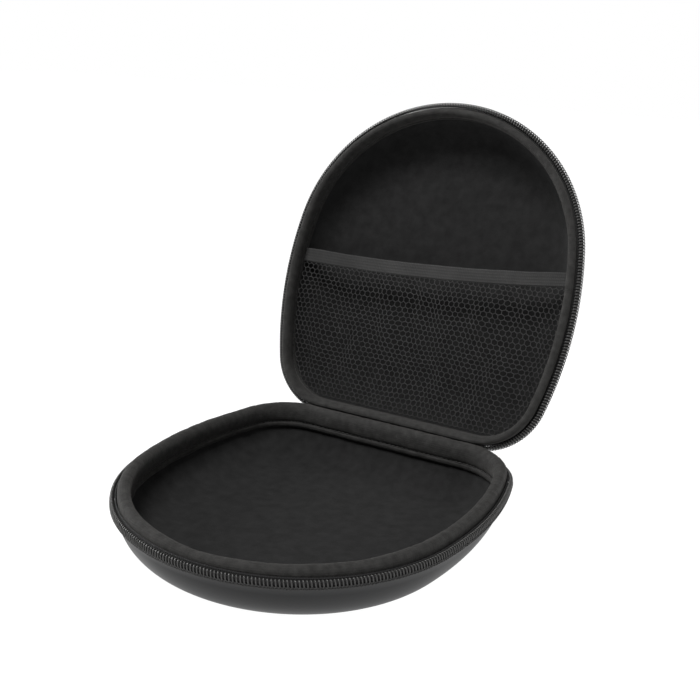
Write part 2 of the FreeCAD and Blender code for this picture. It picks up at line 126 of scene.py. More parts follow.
def outline_at(distance):
    """(point, outward normal, distance) on the outline, measured from the hinge's left end."""
    left = distance % OUTLINE_LENGTH
    if left <= HINGE_LENGTH:
        return Vector((left - HINGE_LENGTH / 2, 0)), Vector((0, -1)), distance
    left -= HINGE_LENGTH
    for centre, radius, first, last in ARCS:
        reach = radius * (last - first)
        if left <= reach or centre is ARCS[-1][0]:
            angle = first + left / radius
            normal = Vector((math.cos(angle), math.sin(angle)))
            return centre + normal * radius, normal, distance
        left -= reach


def whole_outline(spacing):
    """Stations right round the outline."""
    count = round(OUTLINE_LENGTH / spacing)
    return [outline_at(OUTLINE_LENGTH * k / count) for k in range(count)]


def zip_outline(spacing, short=0.0):
    """Stations along the zip, which stops short of its ends by the length given."""
    start, end = ZIP_START + short, OUTLINE_LENGTH + HINGE_LENGTH - ZIP_START - short
    count = round((end - start) / spacing)
    return [outline_at(start + (end - start) * k / count) for k in range(count + 1)]


def half_width_at(v, inset):
    """Half of the shell's width at v, between points at this inset."""
    edge = [point - normal * inset for point, normal, _ in whole_outline(0.5)]
    return min((at for at in edge if at.x > 0), key=lambda at: abs(at.y - v)).x


EDGE = whole_outline(1.0)
EDGE_TREE = kdtree.KDTree(len(EDGE))
for index, station in enumerate(EDGE):
    EDGE_TREE.insert((*station[0], 0), index)
EDGE_TREE.balance()


def inside_by(point):
    """How far inside the outline a point is, below zero where it is outside."""
    nearest, index, _ = EDGE_TREE.find((*point, 0))
    return (nearest.to_2d() - point).dot(EDGE[index][1])


# ---------------------------------------------------------------- meshes

def new_piece(name, mesh):
    """Puts a mesh into the scene as a smoothly shaded piece."""
    piece = bpy.data.objects.new(name, mesh)
    bpy.context.scene.collection.objects.link(piece)
    mesh.polygons.foreach_set("use_smooth", [True] * len(mesh.polygons))
    return piece


def point_normals_out(mesh):
    work = bmesh.new()
    work.from_mesh(mesh)
    bmesh.ops.recalc_face_normals(work, faces=work.faces)
    work.to_mesh(mesh)
    work.free()


def surface(name, rows, lengths, place, ring=False, tube=False, floor=False):
    """A mesh through rows of points, with a UV map in metres along and across the rows.

    ring joins the last row to the first and tube does so across each row. An open
    tube is capped, and floor closes the hole that the last points of a ring leave."""
    count, across = len(rows), len(rows[0])
    points = [place @ point for row in rows for point in row]
    widths = [0.0]
    for one, following in zip(rows[0], rows[0][1:] + rows[0][:1]):
        widths.append(widths[-1] + (following - one).length)
    faces, uvs = [], []
    for i in range(count if ring else count - 1):
        for j in range(across if tube else across - 1):
            i_next, j_next = (i + 1) % count, (j + 1) % across
            faces.append((
                i * across + j, i_next * across + j,
                i_next * across + j_next, i * across + j_next,
            ))
            u, u_next = lengths[i], lengths[i] + lengths[1] - lengths[0]
            v, v_next = widths[j], widths[j + 1]
            uvs += [(u, v), (u_next, v), (u_next, v_next), (u, v_next)]
    if tube and not ring:
        for face in (list(range(across)), list(range((count - 1) * across, count * across))):
            faces.append(face)
            uvs += [(0.0, 0.0)] * across
    if floor:
        faces.append([i * across + across - 1 for i in range(count)])
        uvs += [(rows[i][-1].x, rows[i][-1].y) for i in range(count)]
    mesh = bpy.data.meshes.new(name)
    mesh.from_pydata(points, [], faces)
    layer = mesh.uv_layers.new(name="UVMap")
    layer.data.foreach_set("uv", [value / METRE for uv in uvs for value in uv])
    point_normals_out(mesh)
    return new_piece(name, mesh)


def sweep(name, stations, profile, place, **closing):
    """A surface along the outline. profile gives the (inset, height, shrink) of a station's
    points, where shrink draws a point in towards the middle of the shell."""
    rows = []
    for point, normal, distance in stations:
        row = []
        for inset, height, shrink in profile(distance):
            at = (point - normal * inset).lerp(MIDDLE, shrink)
            row.append(Vector((at.x, at.y, height)))
        rows.append(row)
    lengths = [distance for _, _, distance in stations]
    return surface(name, rows, lengths, place, **closing)


def tubes(name, paths, radius, place):
    """One mesh of round threads or wires along the paths."""
    curve = bpy.data.curves.new(name, "CURVE")
    curve.dimensions = "3D"
    curve.bevel_depth = radius
    curve.bevel_resolution = 1
    curve.use_fill_caps = True
    for path in paths:
        spline = curve.splines.new("POLY")
        spline.points.add(len(path) - 1)
        for target, point in zip(spline.points, path):
            target.co = (*point, 1)
    thread = bpy.data.objects.new(name, curve)
    bpy.context.scene.collection.objects.link(thread)
    drawn = thread.evaluated_get(bpy.context.evaluated_depsgraph_get())
    mesh = bpy.data.meshes.new_from_object(drawn)
    bpy.data.objects.remove(thread)
    mesh.transform(place)
    return new_piece(name, mesh)


SEED_STEP = 7.31                # puts every seed into a part of the noise of its own


def unevenness(seed, first, second=0.0):
    """Smooth noise from -1 to 1, the same at every run."""
    return noise.noise(Vector((first, second, seed * SEED_STEP)))


def ring_noise(seed, distance, size):
    """Smooth noise along the outline that closes on itself."""
    turn = 2 * math.pi * distance / OUTLINE_LENGTH
    radius = OUTLINE_LENGTH / (2 * math.pi * size)
    return noise.noise(Vector((radius * math.cos(turn), radius * math.sin(turn), seed * SEED_STEP)))


# ---------------------------------------------------------------- materials

class Finish:
    """A procedural material, built one node at a time."""

    def __init__(self, name, colour, roughness):
        self.material = bpy.data.materials.new(name)
        self.material.use_nodes = True
        self.tree = self.material.node_tree
        self.shader = self.tree.nodes["Principled BSDF"]
        self.set("Base Color", (*colour, 1))
        self.set("Roughness", roughness)
        self.coordinates = self.node("ShaderNodeTexCoord")
        self.normal = None

    def set(self, socket, value):
        """Sets one input of the shader, to a constant or from another node's output."""
        if isinstance(value, bpy.types.NodeSocket):
            self.tree.links.new(value, self.shader.inputs[socket])
        else:
            self.shader.inputs[socket].default_value = value

    def node(self, kind, inputs=None, **settings):
        made = self.tree.nodes.new(kind)
        for key, value in settings.items():
            setattr(made, key, value)
        for key, value in (inputs or {}).items():
            if isinstance(value, bpy.types.NodeSocket):
                self.tree.links.new(value, made.inputs[key])
            else:
                made.inputs[key].default_value = value
        return made

    def place(self, unit, kind="Object"):
        """Texture coordinates in which one unit is the given length in metres."""
        mapping = self.node("ShaderNodeMapping", {"Vector": self.coordinates.outputs[kind]})
        mapping.inputs["Scale"].default_value = [1 / unit] * 3
        return mapping.outputs["Vector"]

    def noise(self, unit, detail):
        return self.node(
            "ShaderNodeTexNoise", {"Vector": self.place(unit), "Scale": 1.0, "Detail": detail}
        ).outputs["Fac"]

    def pebbles(self, unit):
        return self.node(
            "ShaderNodeTexVoronoi", {"Vector": self.place(unit), "Scale": 1.0},
            feature="SMOOTH_F1",
        ).outputs["Distance"]

    def waves(self, where, direction):
        """Smooth bands, which repeat every 0.31 of a unit."""
        return self.node(
            "ShaderNodeTexWave", {"Vector": where, "Scale": 1.0}, bands_direction=direction
        ).outputs["Fac"]

    def maths(self, operation, first, second):
        return self.node(
            "ShaderNodeMath", {0: first, 1: second}, operation=operation
        ).outputs["Value"]

    def spread(self, value, low, high, low_at=0.3, high_at=0.7):
        """Maps a texture's value onto the range from low to high."""
        return self.node("ShaderNodeMapRange", {
            "Value": value, "From Min": low_at, "From Max": high_at, "To Min": low, "To Max": high,
        }).outputs["Result"]

    def tint(self, value, dark, light):
        """Colours the material from dark to light as the value goes from 0 to 1."""
        mix = self.node("ShaderNodeMix", {"Factor": value}, data_type="RGBA")
        mix.inputs["A"].default_value = (*dark, 1)
        mix.inputs["B"].default_value = (*light, 1)
        self.set("Base Color", mix.outputs["Result"])

    def bump(self, height, depth, strength):
        """Adds relief of the given depth in metres over the reliefs added before."""
        made = self.node(
            "ShaderNodeBump", {"Height": height, "Distance": depth, "Strength": strength}
        )
        if self.normal is not None:
            self.tree.links.new(self.normal, made.inputs["Normal"])
        self.normal = made.outputs["Normal"]
        self.set("Normal", self.normal)

    def fuzz(self, weight, tint):
        """The soft sheen of knitted and brushed cloth."""
        self.set("Sheen Weight", weight)
        self.set("Sheen Roughness", 0.5)
        self.set("Sheen Tint", (*tint, 1))


def grey(value, warmth=0.0):
    """A grey that leans to red as warmth goes over zero and to blue below it."""
    return (value * (1 + warmth), value, value * (1 - 1.5 * warmth))


def skin_finish():
    """Leather-look face: fine pebbled grain, with a satin that varies a little."""
    made = Finish("skin_leather_look", grey(0.021), 0.44)
    grain = made.pebbles(unit=0.0009)
    pores = made.noise(unit=0.0004, detail=2.0)
    patches = made.noise(unit=0.05, detail=2.0)
    made.tint(made.spread(patches, 0, 1), grey(0.014, -0.02), grey(0.019, -0.02))
    made.set("Roughness", made.spread(patches, 0.40, 0.48))
    made.set("Specular IOR Level", 0.22)
    made.bump(grain, depth=0.00006, strength=0.5)
    made.bump(pores, depth=0.00003, strength=0.5)
    return made.material


KNIT_DARK = 0.72                # patches of the knit are this much darker
KNIT_LIGHT = 1.32               # or lighter than its colour


def knit_finish(name, colour, unit, sheen, kind="UV"):
    """Warp knit: fine ribs along the piece with loops across them."""
    made = Finish(name, colour, 0.85)
    where = made.place(unit, kind)
    ribs = made.waves(where, "X")
    loops = made.waves(where, "Y")
    fluff = made.noise(unit=0.0014, detail=4.0)
    patches = made.noise(unit=0.004, detail=5.0)
    dark = tuple(value * KNIT_DARK for value in colour)
    light = tuple(value * KNIT_LIGHT for value in colour)
    made.tint(made.spread(patches, 0, 1), dark, light)
    made.set("Specular IOR Level", 0.12)
    made.bump(made.maths("MULTIPLY", ribs, loops), depth=0.00012, strength=0.6)
    made.bump(fluff, depth=0.0004, strength=0.7)
    made.fuzz(sheen, grey(0.5, 0.03))
    return made.material


def lining_finish():
    """Brushed knit of the lining, which is mottled where its nap lies differently."""
    made = Finish("lining_knit", grey(0.011), 0.95)
    nap = made.noise(unit=0.006, detail=6.0)
    fluff = made.noise(unit=0.0006, detail=3.0)
    made.tint(made.spread(nap, 0, 1), grey(0.009), grey(0.0145))
    made.set("Specular IOR Level", 0.1)
    made.bump(fluff, depth=0.0002, strength=0.7)
    made.bump(nap, depth=0.0006, strength=0.4)
    made.fuzz(0.10, grey(0.5))
    return made.material


def woven_finish(name, colour, unit):
    """Plain weave of the zip tape, in squares of crossing threads."""
    made = Finish(name, colour, 0.8)
    where = made.place(unit, "UV")
    warp = made.waves(where, "X")
    weft = made.waves(where, "Y")
    made.bump(made.maths("ADD", warp, weft), depth=0.0002, strength=0.7)
    made.set("Specular IOR Level", 0.2)
    made.fuzz(0.1, grey(0.5))
    return made.material


def plastic_finish(name, colour, roughness):
    """Moulded or extruded plastic with faint scuffs."""
    made = Finish(name, colour, roughness)
    scuffs = made.noise(unit=0.004, detail=4.0)
    made.set("Roughness", made.spread(scuffs, roughness - 0.06, roughness + 0.1))
    made.bump(scuffs, depth=0.00003, strength=0.4)
    return made.material


def metal_finish():
    """Black painted metal whose paint is worn thin on the raised spots."""
    made = Finish("black_painted_metal", grey(0.012), 0.3)
    wear = made.noise(unit=0.0025, detail=5.0)
    made.tint(made.spread(wear, 0, 1, 0.55, 0.8), grey(0.012), grey(0.09))
    made.set("Roughness", made.spread(wear, 0.24, 0.5))
    made.set("Metallic", 0.4)
    made.bump(wear, depth=0.00002, strength=0.4)
    return made.material


def elastic_finish():
    """Woven elastic: the ribs are modelled, and cross threads show between them."""
    made = Finish("elastic_band", grey(0.03, 0.01), 0.8)
    threads = made.waves(made.place(0.0036, "UV"), "X")
    patches = made.noise(unit=0.012, detail=3.0)
    made.tint(made.spread(patches, 0, 1), grey(0.014, 0.01), grey(0.021, 0.01))
    made.set("Specular IOR Level", 0.3)
    made.bump(threads, depth=0.00015, strength=0.7)
    made.fuzz(0.2, grey(0.5))
    return made.material


SKIN = skin_finish()
LINING = lining_finish()
LIP_KNIT = knit_finish("lip_knit", grey(0.022, 0.02), unit=0.0042, sheen=0.08)
HINGE_KNIT = knit_finish("hinge_fabric", grey(0.014, 0.02), unit=0.0048, sheen=0.06)
NET_YARN = knit_finish("net_yarn", grey(0.028), unit=0.003, sheen=0.1, kind="Object")
TAPE = woven_finish("zip_tape_weave", grey(0.010), unit=0.0036)
COIL = plastic_finish("coil_nylon", grey(0.036, 0.02), 0.38)
THREAD = plastic_finish("sewing_thread", grey(0.018, 0.02), 0.7)
METAL = metal_finish()
ELASTIC = elastic_finish()


def dress(piece, material):
    """Gives a piece its material."""
    piece.data.materials.clear()
    piece.data.materials.append(material)
    return piece


def ride_on(piece, body, material, slot, *stands_for):
    """Gives a finished piece its material and its body, and hides the CAD nodes that it stands for.
    """
    dress(piece, material)
    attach(piece, body)
    if stands_for:
        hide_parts(*stands_for)
    return piece


# ---------------------------------------------------------------- shell: skin and lining

SHELL_TOP = -5.2                # height of the shell's edge, under the zip
SHELL_SPACING = 3.0             # along the outline
SKIN_INSET = 2.7
SKIN_CURVE = 37.5               # how far in the skin's rounded edge reaches
WALL_POWER = 2.45               # fullness of both rounded walls: 2 would be an ellipse
LINING_INSET = 7.4
LINING_CURVE = 32.5
LINING_DEPTH = DEPTH - 4.7      # the wall and the lining are this thick together
LINING_CLOTH = 0.0008           # metres
LINING_SWELL = 0.5              # broad unevenness of the lining, and its size
LINING_SWELL_SIZE = 30.0
LINING_RIPPLE = 0.15            # fine unevenness
LINING_RIPPLE_SIZE = 9.0


def rounded_wall(inset, curve, depth, first, steps):
    """(inset, height) down a wall that rounds over into the flat face of a shell.

    first is the share of the quarter turn that is left out at the top."""
    points = []
    for k in range(steps + 1):
        turn = math.pi / 2 * (first + (1 - first) * k / steps)
        across = 1 - math.cos(turn) ** (2 / WALL_POWER) if k < steps else 1.0
        points.append((inset + curve * across, -depth * math.sin(turn) ** (2 / WALL_POWER)))
    return points


def skin(side):
    """Outer face with the folded edge that is sewn in under the zip."""
    edge = [
        (6.2, SHELL_TOP - 0.3), (4.2, SHELL_TOP), (3.0, SHELL_TOP), (2.55, SHELL_TOP - 0.15),
        (2.35, SHELL_TOP - 0.5), (2.5, SHELL_TOP - 0.9), (2.85, SHELL_TOP - 1.15),
    ]
    wall = rounded_wall(SKIN_INSET, SKIN_CURVE, DEPTH, first=0.16, steps=26)
    columns = [(inset, height, 0.0) for inset, height in edge + wall]
    columns += [(*wall[-1], shrink) for shrink in (0.15, 0.4, 0.7)]
    piece = sweep(
        side + "_skin", whole_outline(SHELL_SPACING), lambda distance: columns, PLACES[side],
        ring=True, floor=True,
    )
    return ride_on(piece, side, SKIN, "skin", side + "_shell")


def lining_cut(wall):
    """(width, length) and area of the lining with its wall laid out flat, in metres.

    The area is the outline's share of its rectangle, times the flat rectangle."""
    height = sum(math.dist(one, other) for one, other in zip(wall, wall[1:]))
    spread = height - wall[-1][0]
    flat = ((CASE_WIDTH + 2 * spread) / METRE, (CASE_LENGTH + 2 * spread) / METRE)
    points = [point for point, _, _ in whole_outline(SHELL_SPACING)]
    enclosed = sum(a.x * b.y - b.x * a.y for a, b in zip(points, points[1:] + points[:1])) / 2
    return flat, flat[0] * flat[1] * abs(enclosed) / (CASE_WIDTH * CASE_LENGTH)


def lining(side):
    """Knitted lining moulded to the inside of the shell, with a slightly uneven floor."""
    wall = rounded_wall(LINING_INSET, LINING_CURVE, LINING_DEPTH, first=0.14, steps=18)
    columns = [(inset, height, 0.0) for inset, height in wall]
    columns += [(*wall[-1], 0.1 * k) for k in range(1, 10)]
    piece = sweep(
        side + "_lining_knit", whole_outline(SHELL_SPACING), lambda distance: columns, PLACES[side],
        ring=True, floor=True,
    )
    inwards = NORMALS[side]
    seed = 1 if side == "base" else 2
    for vertex in piece.data.vertices:
        where = vertex.co * METRE
        across, down = where.x, where.y - where.z
        swell = LINING_SWELL * unevenness(
            seed, across / LINING_SWELL_SIZE, down / LINING_SWELL_SIZE
        )
        swell += LINING_RIPPLE * unevenness(
            seed + 5, across / LINING_RIPPLE_SIZE, down / LINING_RIPPLE_SIZE
        )
        vertex.co += inwards * (swell / METRE)
    thickness = piece.modifiers.new("cloth", "SOLIDIFY")
    thickness.thickness = LINING_CLOTH
    thickness.offset = 1.0
    flat, area = lining_cut(wall)
    return ride_on(piece, side, LINING, "lining", side + "_lining")


# ---------------------------------------------------------------- padded lip

LIP_CROWN = 2.3                 # height of the drawn lip over the parting plane
LIP_SIDES = {"base": 2.2, "lid": 0.8}   # how much higher it stands along the sides
LIP_BACK = {"base": 2.7, "lid": 1.2}    # and at the hinge
LIP_BACK_LEAN = 1.3             # how far it leans over the hinge
LIP_WIDENING = 0.2              # how far its sides go out, as a share of what it rises
LIP_OUTER = 4.0                 # inset of its outer side
LIP_WIDTH = {"base": 1.0, "lid": 0.68}  # share of the width drawn below
LIP_SPACING = 1.1               # along the outline
LIP_PROFILE = [                 # (inset, height) round the drawn lip
    (4.9, -4.8), (4.2, -3.9), (4.0, -2.6), (4.0, -1.2), (4.15, 0.1), (4.6, 1.2), (5.4, 1.9),
    (6.4, 2.25), (7.5, LIP_CROWN), (8.6, 2.1), (9.6, 1.6), (10.4, 0.7), (10.9, -0.5),
    (11.1, -1.9), (11.1, -3.3), (10.9, -4.6), (10.5, -5.6), (9.9, -6.15), (9.6, -6.4),
    (9.95, -6.65), (10.5, -7.0), (10.75, -7.7), (10.7, -8.6), (10.45, -9.5), (9.9, -10.2),
    (9.0, -10.6), (8.2, -10.4), (7.6, -9.4), (7.2, -7.4), (7.0, -5.4), (6.0, -4.9),
]
LIP_MIDDLE = 7.5                # inset of the drawn lip's crown
LIP_HALF = 3.5                  # about half of the drawn lip's width
SEAM_HEIGHT = -6.15             # the groove where the binding is sewn down
SEAM_INSET = 9.95
SEAM_SIDE = 9.0                 # the tuck moves what is further in, in the base's lip only

# Amounts of the lip's unevenness and their sizes along it
BROAD_SWELL, BROAD_SWELL_SIZE = 0.35, 26.0
SHORT_SWELL, SHORT_SWELL_SIZE = 0.22, 7.0
CREASE, CREASE_SIZE = 0.9, 2.6
TUCK, TUCK_SIZE = 0.35, 11.0

STITCH_PITCH = 3.0
STITCH_REACH = 0.34             # half of a stitch's length, as a share of the pitch
STITCH_TOP = 0.6                # the share of it that lies on top of the cloth
STITCH_THREAD = 0.22


def lip_inset(side, drawn_inset):
    """The inset at which the drawn inset comes to lie on this side's lip."""
    return LIP_OUTER + (drawn_inset - LIP_OUTER) * LIP_WIDTH[side]


def lip(side):
    """Foam roll in knitted binding, sewn down along its inner side."""
    seed = 11 if side == "base" else 17

    def profile(distance):
        normal = outline_at(distance)[1]
        back = max(0.0, -normal.y) ** 2
        bulge = LIP_SIDES[side] * abs(normal.x) + LIP_BACK[side] * back
        bulge += BROAD_SWELL * ring_noise(seed, distance, BROAD_SWELL_SIZE)
        bulge += SHORT_SWELL * ring_noise(seed + 1, distance, SHORT_SWELL_SIZE)
        crease = CREASE * max(0.0, ring_noise(seed + 2, distance, CREASE_SIZE)) ** 2
        tuck = TUCK * ring_noise(seed + 3, distance, TUCK_SIZE)
        points = []
        for drawn_inset, height in LIP_PROFILE:
            inset = lip_inset(side, drawn_inset)
            share = max(0.0, (height - SEAM_HEIGHT) / (LIP_CROWN - SEAM_HEIGHT))
            rise = share * (bulge - crease)
            slip = LIP_WIDENING * (inset - LIP_MIDDLE) / LIP_HALF * rise
            if inset > SEAM_SIDE:
                slip += tuck * (1 - share)
            slip -= LIP_BACK_LEAN * share * back
            points.append((inset + slip, height + rise, 0.0))
        return points

    piece = sweep(
        side + "_lip", whole_outline(LIP_SPACING), profile, PLACES[side], ring=True, tube=True
    )
    press(piece)
    return ride_on(piece, side, LIP_KNIT, "rim_knit", side + "_rim_core", side + "_rim_binding")


def press(piece):
    """Gives a piece of the lip a mesh of its own."""
    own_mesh(piece)


def lip_stitches(side):
    """Separate stitches along the seam, which go into the lip at both ends."""
    shown, sunk = SEAM_INSET + 0.2, SEAM_INSET - 0.5

    def seam_at(distance, drawn_inset):
        point, normal, _ = outline_at(distance)
        at = point - normal * lip_inset(side, drawn_inset)
        return Vector((at.x, at.y, SEAM_HEIGHT - 0.2))

    count = int(OUTLINE_LENGTH / STITCH_PITCH)
    reach = STITCH_PITCH * STITCH_REACH
    top = reach * STITCH_TOP
    paths = []
    for k in range(count):
        distance = (k + 0.5) * OUTLINE_LENGTH / count
        paths.append([
            seam_at(distance - reach, sunk), seam_at(distance - top, shown),
            seam_at(distance + top, shown), seam_at(distance + reach, sunk),
        ])
    piece = tubes(side + "_lip_stitches", paths, STITCH_THREAD, PLACES[side])
    press(piece)
    return ride_on(piece, side, THREAD, "rim_knit")


# ---------------------------------------------------------------- zip

COIL_INSET = 1.3
COIL_MIDDLE = -2.5              # height of the coil's middle
COIL_DROOP = {"base": 0.9, "lid": 0.0}  # the base's half hangs lower at the front
COIL_PITCH = 1.8
COIL_STEPS = 14                 # points on a turn
COIL_RADII = (0.95, 2.05)       # of the turns' middle line, across and up
COIL_WIRE = 0.42                # radius
CORE_RADII = (0.62, 1.75)
CORE_SIDES = 10
THREAD_DROPS = (1.0, 1.75)      # how far the two threads lie below the coil's middle
THREAD_STEPS = 6                # points on a turn
THREAD_INSET = 0.02
THREAD_SLOPE = 0.1              # the lower thread lies further in, as the coil rounds off
THREAD_SWING = (0.12, 0.2)      # how far the threads wind, across and up
# The base's threads are drawn thicker than the lid's so that they darken the lower half of its
# coil: partly real thread, partly painted shade.
THREAD_RADIUS = {"base": 0.26, "lid": 0.16}
ZIP_LEAN = {"base": 0.0, "lid": math.radians(25)}   # the lid's half leans to its mouth
ZIP_SPACING = 2.0               # along the outline, for the tape and the core
TAPE_TURN = -4.0                # below this height the tape turns in under the lip


def lean(side, inset, height):
    """Turns a point of the zip's section about the middle of the coil."""
    across, up = inset - COIL_INSET, height - COIL_MIDDLE
    cosine, sine = math.cos(ZIP_LEAN[side]), math.sin(ZIP_LEAN[side])
    return COIL_INSET + across * cosine + up * sine, COIL_MIDDLE + up * cosine - across * sine


def zip_tape(side):
    """Woven tape that stands behind the coil and turns in under the lip."""
    columns = [
        (2.75, -0.6), (3.15, -0.45), (3.35, -0.8), (3.4, -3.6), (3.7, -4.3), (5.2, -4.55),
        (6.4, -4.7), (6.4, -5.15), (4.5, -5.15), (2.9, -5.15), (2.75, -4.8), (2.7, -2.8),
    ]
    profile = []
    for inset, height in columns:
        if height > TAPE_TURN:
            inset, height = lean(side, inset, height)
        profile.append((inset, height, 0.0))
    stations = zip_outline(ZIP_SPACING)
    piece = sweep(side + "_tape", stations, lambda distance: profile, PLACES[side], tube=True)
    return ride_on(piece, side, TAPE, "zip_tape", side + "_zip_tape")


def coil_height(side, normal):
    """Height of the coil's middle at a station with this normal."""
    return COIL_MIDDLE - COIL_DROOP[side] * max(0.0, normal.y) ** 2


def zip_coil(side):
    """One nylon filament wound into a flattened spiral and sewn to the tape."""
    stations = zip_outline(COIL_PITCH / COIL_STEPS, short=3.4)
    first = stations[0][2]
    path = []
    for point, normal, distance in stations:
        turn = 2 * math.pi * (distance - first) / COIL_PITCH
        inset, height = lean(
            side, COIL_INSET + COIL_RADII[0] * math.cos(turn),
            coil_height(side, normal) + COIL_RADII[1] * math.sin(turn),
        )
        at = point - normal * inset
        path.append(Vector((at.x, at.y, height)))
    piece = tubes(side + "_coil", [path], COIL_WIRE, PLACES[side])
    return ride_on(piece, side, COIL, "zip_coil", side + "_zip_coil")


def coil_core(side):
    """Cord that fills the inside of the coil."""
    def section(distance):
        middle = coil_height(side, outline_at(distance)[1])
        points = []
        for k in range(CORE_SIDES):
            turn = 2 * math.pi * k / CORE_SIDES
            inset, height = lean(
                side, COIL_INSET + CORE_RADII[0] * math.cos(turn),
                middle + CORE_RADII[1] * math.sin(turn),
            )
            points.append((inset, height, 0.0))
        return points

    piece = sweep(
        side + "_coil_core", zip_outline(ZIP_SPACING, short=3.0), section, PLACES[side],
        tube=True,
    )
    return ride_on(piece, side, TAPE, "zip_tape")


def coil_thread(side):
    """Two sewing threads that hold the coil's turns, low on its outer side."""
    paths = []
    for drop in THREAD_DROPS:
        path = []
        for point, normal, distance in zip_outline(COIL_PITCH / THREAD_STEPS, short=3.6):
            turn = 2 * math.pi * distance / COIL_PITCH
            inset, height = lean(
                side, THREAD_INSET + THREAD_SLOPE * drop - THREAD_SWING[0] * math.cos(turn),
                coil_height(side, normal) - drop + THREAD_SWING[1] * math.sin(turn),
            )
            at = point - normal * inset
            path.append(Vector((at.x, at.y, height)))
        paths.append(path)
    piece = tubes(side + "_coil_thread", paths, THREAD_RADIUS[side], PLACES[side])
    return ride_on(piece, side, THREAD, "zip_coil")


# ---------------------------------------------------------------- net pocket of the lid

NET_HEIGHT = -7.6
NET_CELL = 3.5                  # across a hexagon's flats
NET_STRAND = 0.62               # thickness of its yarn
NET_START = 6.0                 # v of the first row of cells
NET_HELD = 14.0                 # this near to its edges and the hem the net is pulled less
NET_EDGE_INSET = 8.0            # the net's edge is sewn in under the lip
HEM_WIDTH = 9.2
HEM_THICK = 0.75                # half of its thickness
HEM_RIBS = 5
HEM_RIB_DEPTH = 0.14
HEM_RIB_POINTS = 6
HEM_SPACING = 1.5               # along the hem
HEM_END = 90.0                  # about how far it reaches to either side
HEM_FROM = -10.0                # the next three numbers are the hem's at this u:
HEM_TOP = 106.7                 # v of its upper edge,
HEM_SLOPE = 0.0475              # its rise to the right
HEM_SAG = 0.00042               # and how it curves up to both sides

# Amounts of the net's and the hem's unevenness
NET_FOLD = 1.4
NET_PULL_ACROSS = 3.6
NET_PULL_FINE = 1.2
NET_PULL_ALONG = 1.8
HEM_WANDER = 0.25
HEM_LIFT = 0.6
HEM_WIDENING = 0.3


def hem_middle(u):
    """Height v of the middle of the hem: it sags a little and rises to the right."""
    along = u - HEM_FROM
    return HEM_TOP + HEM_SLOPE * along + HEM_SAG * along ** 2 - HEM_WIDTH / 2


def net_relief(u, v):
    """Height of the net: taut at the hem and the hinge, with folds that run between them."""
    below = max(0.0, hem_middle(u) - v)
    slack = min(1.0, below / 30) * min(1.0, max(0.0, v - 12) / 20)
    folds = NET_FOLD * unevenness(31, u / 12 + v / 60, v / 45)
    return NET_HEIGHT + slack * folds


def net_pull(u, v):
    """Sideways shift of the net, which opens its cells in some places and shuts them in others."""
    across = NET_PULL_ACROSS * unevenness(41, u / 17, v / 40)
    across += NET_PULL_FINE * unevenness(42, u / 8, v / 14)
    along = NET_PULL_ALONG * unevenness(43, u / 30, v / 19)
    return Vector((across, along))


def pocket_net(hem):
    """Knotless net of hexagonal cells, from the hinge end of the lid up to the hem."""
    edge = NET_CELL / math.sqrt(3)
    corner_of, corners, cells = {}, [], []
    rows = int((hem_middle(HEM_END) - 5) / (1.5 * edge)) + 3
    columns = int(CASE_WIDTH / NET_CELL / 2) + 2
    for row in range(rows):
        for column in range(-columns, columns + 1):
            shift = 0.5 * (row % 2)
            middle = Vector(((column + shift) * NET_CELL, NET_START + row * 1.5 * edge))
            cell = []
            for k in range(6):
                angle = math.radians(30 + 60 * k)
                at = middle + edge * Vector((math.cos(angle), math.sin(angle)))
                key = (round(at.x, 2), round(at.y, 2))
                cell.append((key, at))
            if any(inside_by(at) < NET_EDGE_INSET for _, at in cell):
                continue
            if any(at.y > hem_middle(at.x) for _, at in cell):
                continue
            for key, at in cell:
                if key not in corner_of:
                    corner_of[key] = len(corners)
                    corners.append(at)
            cells.append([corner_of[key] for key, _ in cell])
    points = []
    for at in corners:
        free = min(1.0, max(0.0, inside_by(at) - NET_EDGE_INSET) / NET_HELD)
        free_of_hem = min(1.0, (hem_middle(at.x) - at.y) / NET_HELD)
        moved = at + net_pull(at.x, at.y) * free * free_of_hem
        points.append(PLACES["lid"] @ Vector((moved.x, moved.y, net_relief(at.x, at.y))))
    mesh = bpy.data.meshes.new("pocket_mesh")
    mesh.from_pydata(points, [], cells)
    piece = new_piece("pocket_mesh", mesh)
    strands = piece.modifiers.new("strands", "WIREFRAME")
    strands.thickness = NET_STRAND / METRE
    strands.use_boundary = True
    strands.use_even_offset = False
    widest = half_width_at(hem_middle(0), NET_EDGE_INSET) * 2
    return ride_on(piece, "lid", NET_YARN, "net", "pocket_net")


def pocket_hem():
    """Ribbed elastic band along the mouth of the pocket."""
    rows, lengths = [], []
    left = -half_width_at(hem_middle(-HEM_END), NET_EDGE_INSET)
    right = half_width_at(hem_middle(HEM_END), NET_EDGE_INSET)
    steps = int((right - left) / HEM_SPACING)
    points_across = HEM_RIBS * HEM_RIB_POINTS
    for k in range(steps + 1):
        u = left + (right - left) * k / steps
        middle = hem_middle(u) + HEM_WANDER * unevenness(51, u / 14)
        held_at_ends = 1 - (2 * k / steps - 1) ** 2
        height = NET_HEIGHT + HEM_LIFT * unevenness(53, u / 40) * held_at_ends
        width = HEM_WIDTH + HEM_WIDENING * unevenness(57, u / 20)
        row = []
        for face in (1, -1):
            for j in range(points_across + 1):
                across = face * (j / points_across - 0.5)
                groove = HEM_RIB_DEPTH * abs(math.cos(math.pi * HEM_RIBS * (across + 0.5)))
                half = HEM_THICK * (1 - abs(2 * across) ** 12) - groove
                row.append(Vector((u, middle + across * width, height + face * half)))
        rows.append(row)
        lengths.append(u - left)
    piece = surface("pocket_hem_band", rows, lengths, PLACES["lid"], tube=True)
    return ride_on(piece, "lid", ELASTIC, "elastic", "pocket_hem")


# ---------------------------------------------------------------- fabric hinge

HINGE_CLOTH = 0.0007            # metres
HINGE_SPACING = 3.0             # across a strip
HINGE_STEP = 1.5                # along its path
HINGE_BENDS = 12                # steps of its turn round the hinge line


